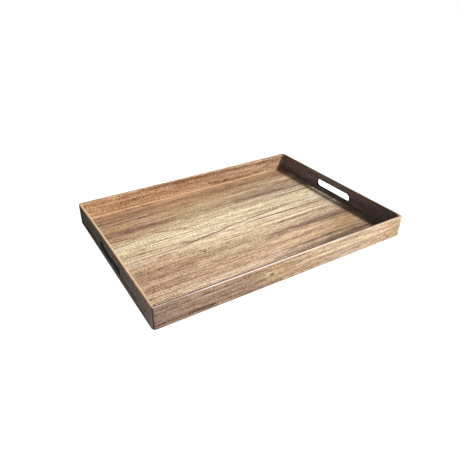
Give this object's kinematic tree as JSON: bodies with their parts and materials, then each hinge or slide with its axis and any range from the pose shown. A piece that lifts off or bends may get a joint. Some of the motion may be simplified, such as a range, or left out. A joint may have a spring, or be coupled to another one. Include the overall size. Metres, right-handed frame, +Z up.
{
  "type": "serving tray",
  "caption": "Rectangular serving tray with low upright walls, wood-grain film wrap and a rounded hand slot with a black edge in each short wall.",
  "frame": {"origin": "under the middle of the tray, on the surface that it stands on", "axes": "+X along the tray from the left hand slot to the right one, +Y from the front wall to the back wall, +Z up"},
  "size_m": [0.48, 0.34, 0.04],
  "materials": {
    "wrap": "satin wood-grain film, light brown with darker grain lines along the wall",
    "lining": "satin wood-grain film, warm orange brown",
    "floor": "satin wood-grain film, cream to olive brown streaks along the tray",
    "underside": "short black felt-like sheet",
    "edging": "smooth black edge band",
    "fibreboard": "raw dense fibreboard, fine and even",
    "strip_wood": "raw softwood strip",
    "pin_steel": "drawn steel wire"
  },
  "bodies": {
    "root": {"base_board": "fibreboard", "front_board": "fibreboard", "back_board": "fibreboard", "left_board": "fibreboard", "right_board": "fibreboard", "corner_strip_front_left": "strip_wood", "corner_strip_front_right": "strip_wood", "corner_strip_back_right": "strip_wood", "corner_strip_back_left": "strip_wood", "outer_wrap": "wrap", "inner_lining": "lining", "floor_sheet": "floor", "underside_sheet": "underside", "left_slot_edging": "edging", "right_slot_edging": "edging", "base_pin_back_1": "pin_steel", "base_pin_back_2": "pin_steel", "base_pin_back_3": "pin_steel", "base_pin_back_4": "pin_steel", "base_pin_front_1": "pin_steel", "base_pin_front_2": "pin_steel", "base_pin_front_3": "pin_steel", "base_pin_front_4": "pin_steel", "base_pin_left_1": "pin_steel", "base_pin_left_2": "pin_steel", "base_pin_right_1": "pin_steel", "base_pin_right_2": "pin_steel", "corner_pin_back_left_lower": "pin_steel", "corner_pin_back_left_upper": "pin_steel", "corner_pin_back_right_lower": "pin_steel", "corner_pin_back_right_upper": "pin_steel", "corner_pin_front_left_lower": "pin_steel", "corner_pin_front_left_upper": "pin_steel", "corner_pin_front_right_lower": "pin_steel", "corner_pin_front_right_upper": "pin_steel"}
  },
  "joints": []
}
